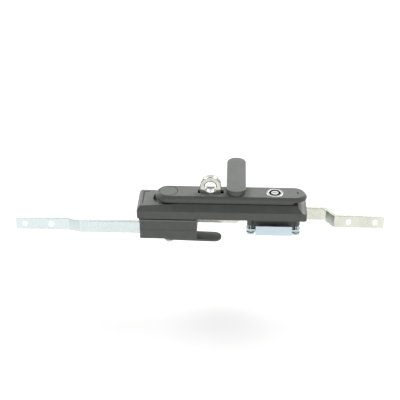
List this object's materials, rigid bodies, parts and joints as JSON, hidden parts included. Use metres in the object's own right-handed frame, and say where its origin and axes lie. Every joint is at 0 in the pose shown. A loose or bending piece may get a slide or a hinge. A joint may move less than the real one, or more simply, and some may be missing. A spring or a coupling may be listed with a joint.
{
  "type": "three-point cabinet lock",
  "caption": "Surface-mounted swing-handle cabinet lock with tip-up lever, padlock eye, key cylinder with dust cover, gearbox, cam and two joggled locking rods.",
  "frame": {"origin": "on the spindle axis, on the door's outer face, which is the bezel's underside", "axes": "+X runs along the handle from the spindle to the tip, +Z points out of the door towards the user"},
  "size_m": [0.4423, 0.0981, 0.092],
  "materials": {
    "zinc_black": "satin powder coat on die-cast zinc",
    "plastic_black": "fine-grained glass-filled nylon",
    "cap_black": "satin plastic",
    "rubber_black": "matte",
    "nickel": "nickel plate",
    "zinc_blue": "blue passivated zinc plate",
    "zinc_yellow": "yellowish passivated zinc plate",
    "steel": "bare steel",
    "brass": "sintered bearing bronze",
    "cam_black": "dark phosphated steel"
  },
  "bodies": {
    "door_side": {"base_plate": "zinc_black", "door_gasket": "rubber_black", "hub_bush": "brass", "gearbox_housing": "plastic_black", "gearbox_cover": "plastic_black", "gearbox_screws": "steel", "lower_bush": "brass", "clamp_bracket": "zinc_blue", "clamp_washers": "zinc_blue", "clamp_spring_washers": "zinc_blue", "clamp_screws": "zinc_blue"},
    "spindle": {"spindle_hub": "steel", "padlock_staple": "nickel", "staple_screws": "steel", "pinion": "steel", "spindle_seal": "rubber_black", "retaining_ring": "steel", "cam_plate": "cam_black", "cam_washer": "zinc_blue", "cam_spring_washer": "zinc_blue", "cam_screw": "zinc_blue"},
    "lever": {"handle": "zinc_black", "hub_cap": "cap_black", "tilt_pin": "steel", "cylinder_body": "nickel", "cylinder_clip": "steel"},
    "key_core": {"cylinder_core": "nickel", "lock_cam": "steel", "cam_clip": "steel"},
    "flap": {"dust_cover": "cap_black", "dust_cover_pin": "steel", "cover_washer": "steel"},
    "rod_left": {"left_rod": "zinc_blue"},
    "rod_right": {"right_rod": "zinc_yellow"}
  },
  "joints": [
    {"name": "handle_swing", "type": "hinge", "parent": "door_side", "child": "spindle", "pos_m": [0, 0, 0], "axis": [0, 0, 1], "range_deg": [0, 90]},
    {"name": "handle_lift", "type": "hinge", "parent": "spindle", "child": "lever", "pos_m": [-0.003, 0, 0.0196], "axis": [0, -1, 0], "range_deg": [0, 25]},
    {"name": "cover_swing", "type": "hinge", "parent": "lever", "child": "flap", "pos_m": [0.0802, 0, 0.0253], "axis": [0, 0, 1], "range_deg": [-90, 0]},
    {"name": "key_turn", "type": "hinge", "parent": "lever", "child": "key_core", "pos_m": [0.1259, 0, 0.0253], "axis": [0, 0, 1], "range_deg": [0, 90]},
    {"name": "left_rod_slide", "type": "slide", "parent": "door_side", "child": "rod_left", "axis": [1, 0, 0], "range_m": [0, 0.0189]},
    {"name": "right_rod_slide", "type": "slide", "parent": "door_side", "child": "rod_right", "axis": [1, 0, 0], "range_m": [-0.0189, 0]}
  ],
  "couplings": [
    {"joint": "left_rod_slide", "follows": "handle_swing", "m_per_rad": 0.012},
    {"joint": "right_rod_slide", "follows": "handle_swing", "m_per_rad": -0.012}
  ]
}
